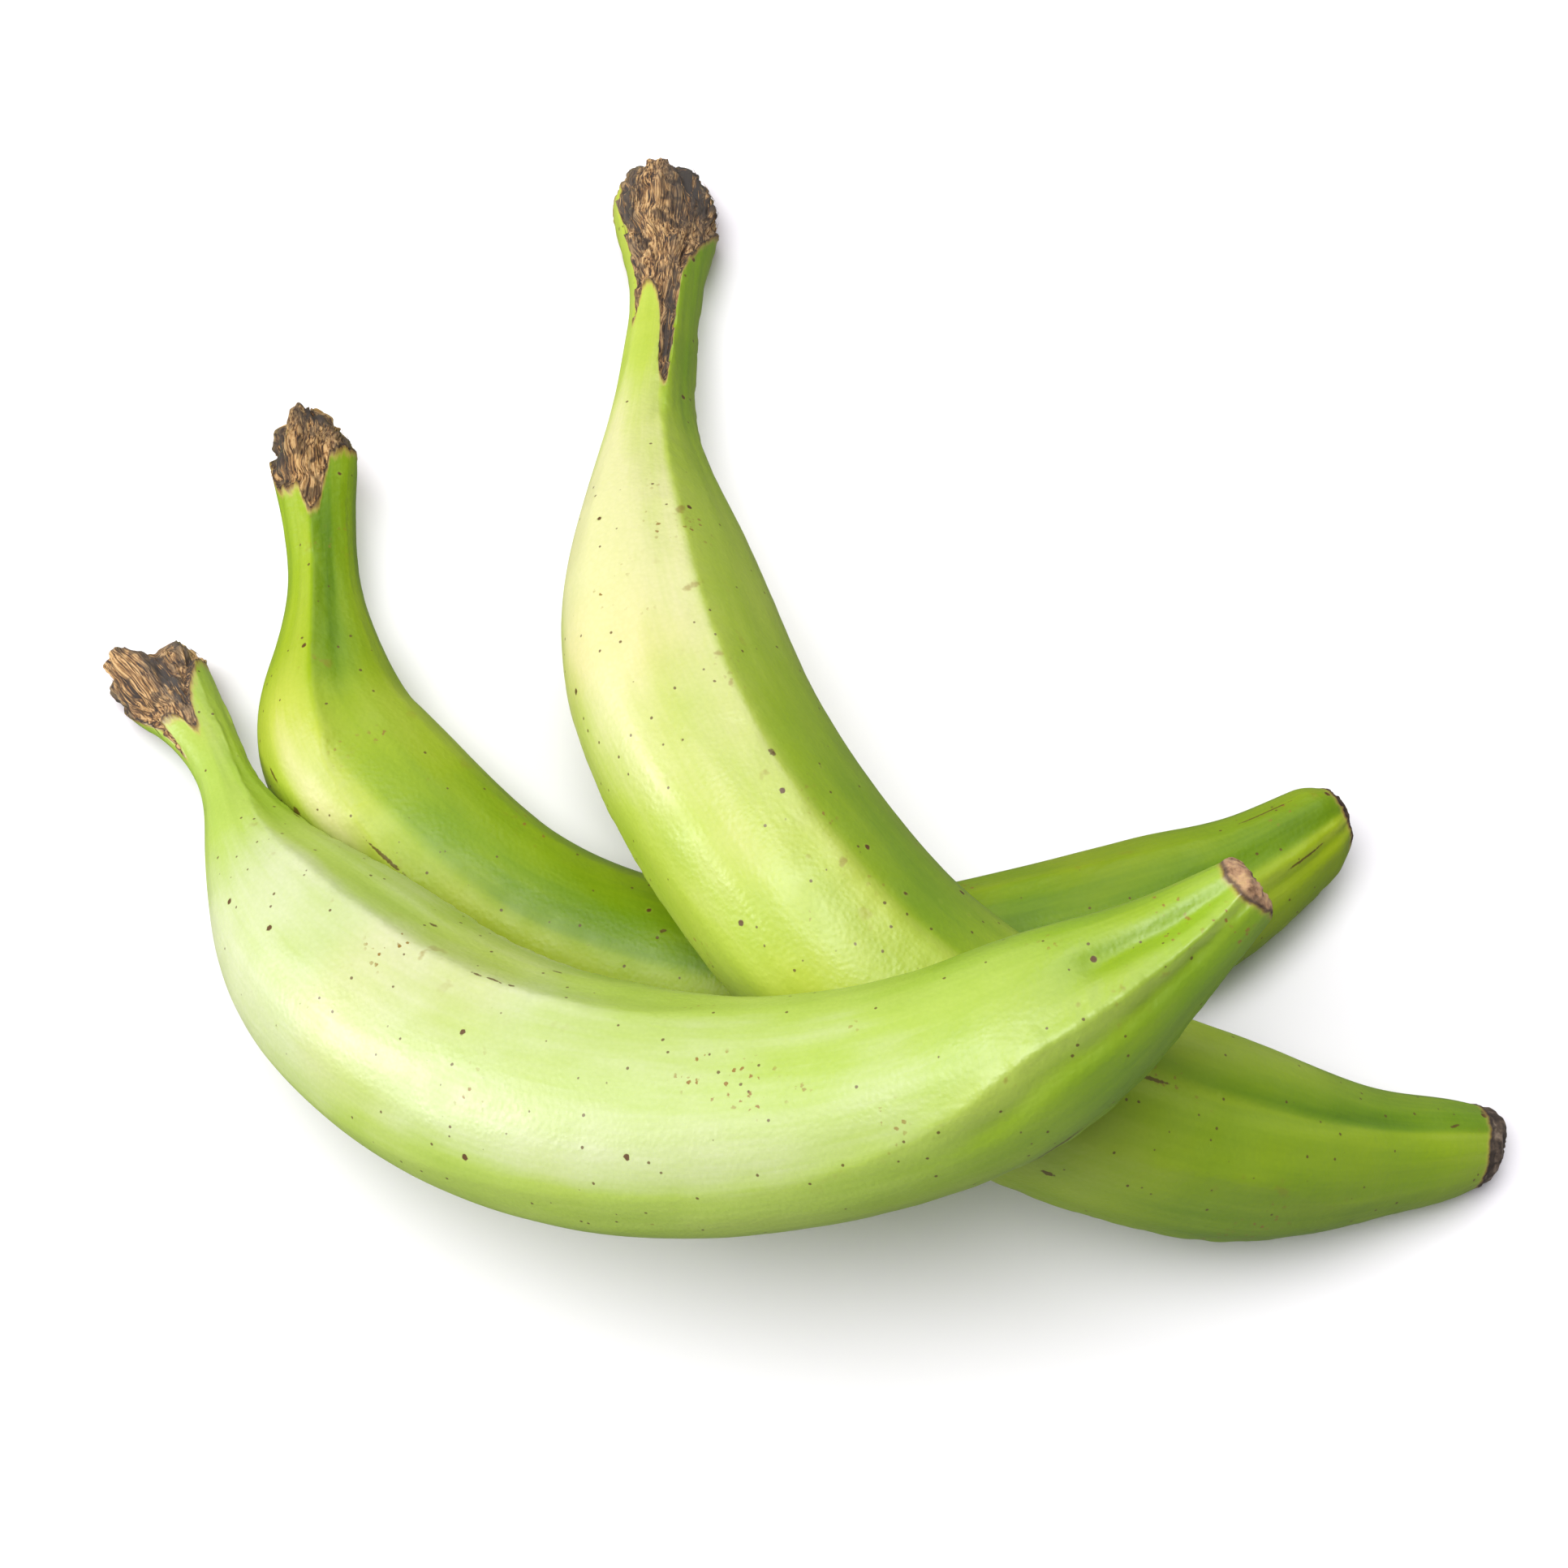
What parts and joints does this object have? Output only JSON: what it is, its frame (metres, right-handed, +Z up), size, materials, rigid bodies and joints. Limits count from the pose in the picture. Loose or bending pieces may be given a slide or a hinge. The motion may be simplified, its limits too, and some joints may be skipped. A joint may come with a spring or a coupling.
{
  "type": "bunch of plantains",
  "caption": "Green plantains with torn stalks, lying heaped across one another on a flat surface.",
  "frame": {"origin": "on the table surface under the middle of the heap's bounding box", "axes": "+Z up from the table, +Y from the curved bellies of the fruit towards the stalk of the long one, +X from the stalk of the front fruit towards its tip"},
  "size_m": [0.2785, 0.2484, 0.1054],
  "materials": {
    "light_green_peel": "waxy yellow-green peel with a fine pebbled skin, small brown flecks, and a brown torn stalk",
    "green_peel": "waxy green peel, pale on one side and deeper on the other, brown flecks, and a brown torn stalk",
    "deep_green_peel": "waxy deep green peel with brown flecks, and a brown torn stalk"
  },
  "bodies": {
    "root": {"front_plantain": "light_green_peel", "long_plantain": "green_peel", "rear_plantain": "deep_green_peel"}
  },
  "joints": []
}
